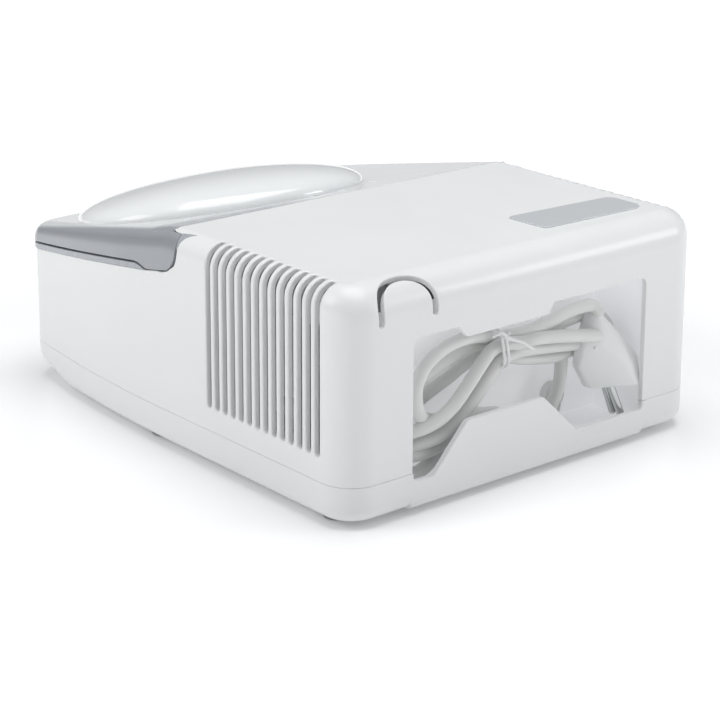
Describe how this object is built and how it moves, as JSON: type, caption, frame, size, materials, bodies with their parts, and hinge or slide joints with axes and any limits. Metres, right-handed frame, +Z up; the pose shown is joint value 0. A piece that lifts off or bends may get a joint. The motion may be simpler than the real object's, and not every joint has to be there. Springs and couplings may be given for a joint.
{
  "type": "tabletop nebulizer",
  "caption": "White tabletop compressor nebulizer with a rear cord bay, louvred sides, domed hinged lid over an accessory well, and a piston compressor inside.",
  "frame": {"origin": "centre of the footprint on the table, under the feet", "axes": "+Z up, +Y to the rear face with the cable bay, -Y to the front with the switch, +X across the width"},
  "size_m": [0.22, 0.2773, 0.1145],
  "materials": {
    "casing_white": "satin gloss white ABS",
    "inner_white": "fine matt white ABS",
    "lid_smoke": "polished translucent smoke grey",
    "lid_clear": "polished clear polycarbonate",
    "trim_grey": "satin light grey",
    "badge": "satin silver film, blank",
    "foot_rubber": "matt light grey",
    "black_rubber": "matt",
    "steel": "zinc plated",
    "lamination": "varnished laminations",
    "alu_cast": "die cast",
    "brass": "sintered",
    "copper": "enamelled copper wire",
    "dark_plastic": "moulded black",
    "cord_pvc": "soft white PVC",
    "plug_white": "moulded white",
    "pin_nickel": "nickel plated",
    "ptfe": "filled PTFE",
    "clear_part": "clear moulded accessory",
    "silicone_tube": "translucent PVC tube",
    "filter_foam": "felt",
    "wire": "insulated wire"
  },
  "bodies": {
    "root": {"upper_shell": "casing_white", "lower_shell": "casing_white", "deck_trim": "trim_grey", "hinge_pins": "steel", "badge_plate": "badge", "accessory_tray": "inner_white", "rubber_feet": "foot_rubber", "casing_screws": "steel", "cable_bay_liner": "inner_white", "switch_housing": "dark_plastic", "air_outlet_nozzle": "inner_white", "cord_grip": "cord_pvc", "power_cord": "cord_pvc", "cord_tie": "plug_white", "plug_body": "plug_white", "plug_pins": "pin_nickel", "base_frame": "steel", "vibration_mounts": "black_rubber", "stator_stack": "lamination", "coil_bobbin": "inner_white", "coil_winding": "copper", "shading_rings": "copper", "bearing_brackets": "alu_cast", "bearing_bushes": "brass", "motor_screws": "steel", "cylinder_sleeve": "alu_cast", "pump_frame": "alu_cast", "valve_plate": "alu_cast", "head_gasket": "black_rubber", "cylinder_head": "alu_cast", "head_screws": "steel", "outlet_hose": "silicone_tube", "intake_hose": "silicone_tube", "terminal_block": "inner_white", "thermal_cutout": "dark_plastic", "internal_wiring": "wire", "nebulizer_cup": "clear_part", "nebulizer_cap": "clear_part", "nebulizer_jet": "inner_white", "mouthpiece": "inner_white", "air_tube": "silicone_tube"},
    "lid": {"lid_frame": "lid_smoke", "lid_dome": "lid_clear"},
    "rocker": {"switch_rocker": "dark_plastic"},
    "rotor": {"rotor_core": "lamination", "motor_shaft": "steel", "cooling_fan": "inner_white", "crank_disc": "steel", "crank_pin": "steel"},
    "piston": {"connecting_rod": "alu_cast", "big_end_bearing": "steel", "cup_seal": "ptfe", "seal_clamp": "steel"},
    "intake_valve": {"intake_reed": "steel"},
    "exhaust_valve": {"exhaust_reed": "steel"},
    "filter": {"filter_cover": "inner_white", "air_filter": "filter_foam"}
  },
  "joints": [
    {"name": "lid_hinge", "type": "hinge", "parent": "root", "child": "lid", "pos_m": [0, 0.001, 0.1005], "axis": [-1, 0, 0], "range_deg": [0, 60]},
    {"name": "switch_rock", "type": "hinge", "parent": "root", "child": "rocker", "pos_m": [0, -0.1335, 0.031], "axis": [-1, 0, 0], "range_deg": [0, 20]},
    {"name": "motor_spin", "type": "hinge", "parent": "root", "child": "rotor", "pos_m": [0, 0.052, 0.046], "axis": [1, 0, 0], "continuous": true},
    {"name": "big_end_pivot", "type": "hinge", "parent": "rotor", "child": "piston", "pos_m": [0.044, 0.052, 0.0485], "axis": [1, 0, 0], "continuous": true, "deforming": ["cup_seal"]},
    {"name": "intake_reed_flex", "type": "hinge", "parent": "root", "child": "intake_valve", "pos_m": [0.037, 0.043, 0.08785], "axis": [-1, 0, 0], "range_deg": [0, 4]},
    {"name": "exhaust_reed_flex", "type": "hinge", "parent": "root", "child": "exhaust_valve", "pos_m": [0.051, 0.043, 0.09115], "axis": [1, 0, 0], "range_deg": [0, 6]},
    {"name": "filter_pull", "type": "slide", "parent": "root", "child": "filter", "axis": [0, 0, 1], "range_m": [0, 0.01]}
  ],
  "couplings": [
    {"joint": "big_end_pivot", "follows": "motor_spin", "ratio": -1}
  ]
}
